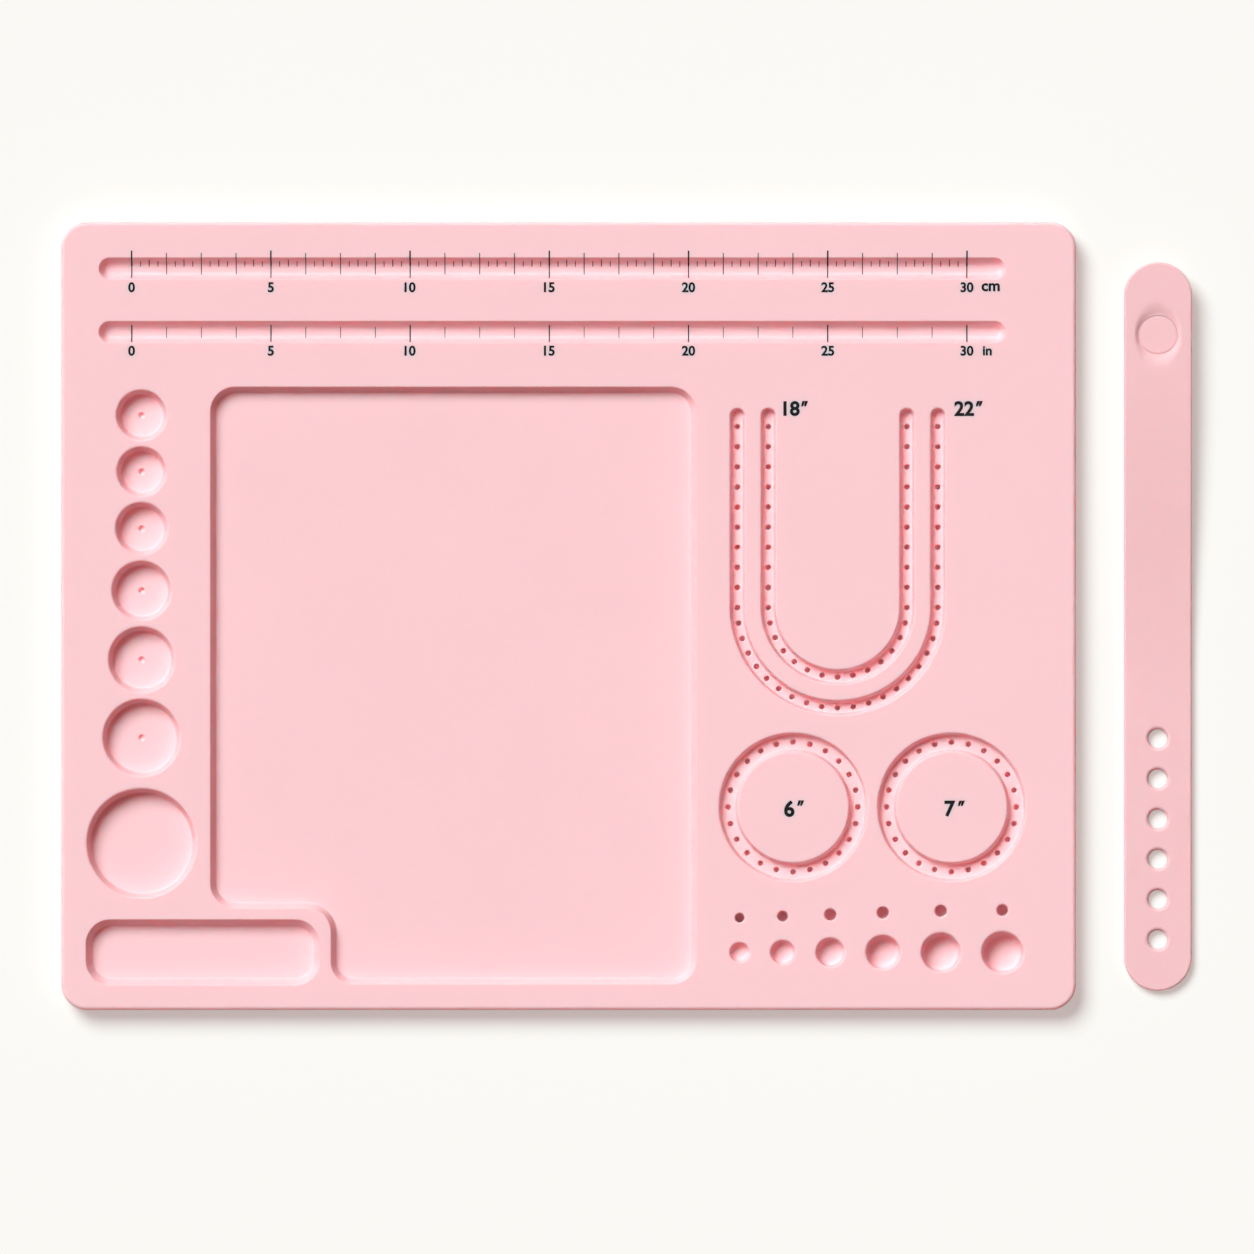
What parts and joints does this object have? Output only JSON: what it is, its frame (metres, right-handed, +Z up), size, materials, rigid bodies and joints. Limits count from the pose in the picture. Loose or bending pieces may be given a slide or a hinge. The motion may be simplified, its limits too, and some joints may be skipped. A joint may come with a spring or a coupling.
{
  "type": "bead work mat with strap",
  "caption": "Flat moulded silicone work mat with a recessed tray, round cups, ruler grooves, bead channels and sockets, and a loose strap with a button stud and holes.",
  "frame": {"origin": "centre of the mat's flat underside", "axes": "+X to the right along the mat's long side, +Y to the back edge with the rulers, +Z up"},
  "size_m": [0.4061, 0.283, 0.0091],
  "materials": {
    "mat_silicone": "satin moulded silicone, pink",
    "strap_silicone": "satin moulded silicone, slightly duller pink",
    "print_ink": "flat black printed ink"
  },
  "bodies": {
    "mat": {"mat": "mat_silicone"},
    "strap": {"strap_band": "strap_silicone", "strap_stud": "strap_silicone"}
  },
  "joints": [
    {"name": "strap_lift", "type": "slide", "parent": "mat", "child": "strap", "axis": [0, 0, 1], "range_m": [0, 0.06]}
  ]
}
